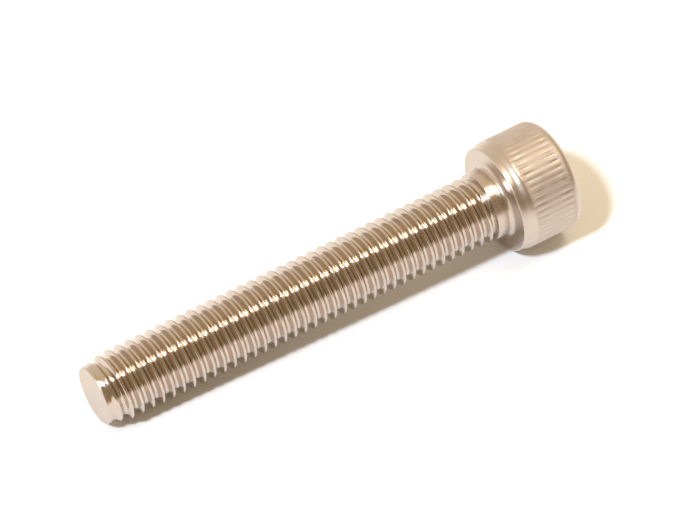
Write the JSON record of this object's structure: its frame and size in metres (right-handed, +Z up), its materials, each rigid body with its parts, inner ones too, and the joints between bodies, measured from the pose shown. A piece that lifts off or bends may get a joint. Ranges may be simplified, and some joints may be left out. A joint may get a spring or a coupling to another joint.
{
  "type": "hex socket cap screw",
  "caption": "Hex socket cap screw with a knurled cylindrical head and a shank threaded up to a short smooth collar, lying on its side.",
  "frame": {"origin": "bottom centre of the bounding box, on the floor under the screw as it lies on its side", "axes": "+Z up; +X along the screw towards its head, whose axis rises 3 degrees from the floor because the head is wider than the thread; +Y across it"},
  "size_m": [0.058, 0.0128, 0.0131],
  "materials": {
    "steel": "bright bare steel with a warm satin sheen, polished crests and faint scratches"
  },
  "bodies": {
    "root": {"cap_screw": "steel"}
  },
  "joints": []
}
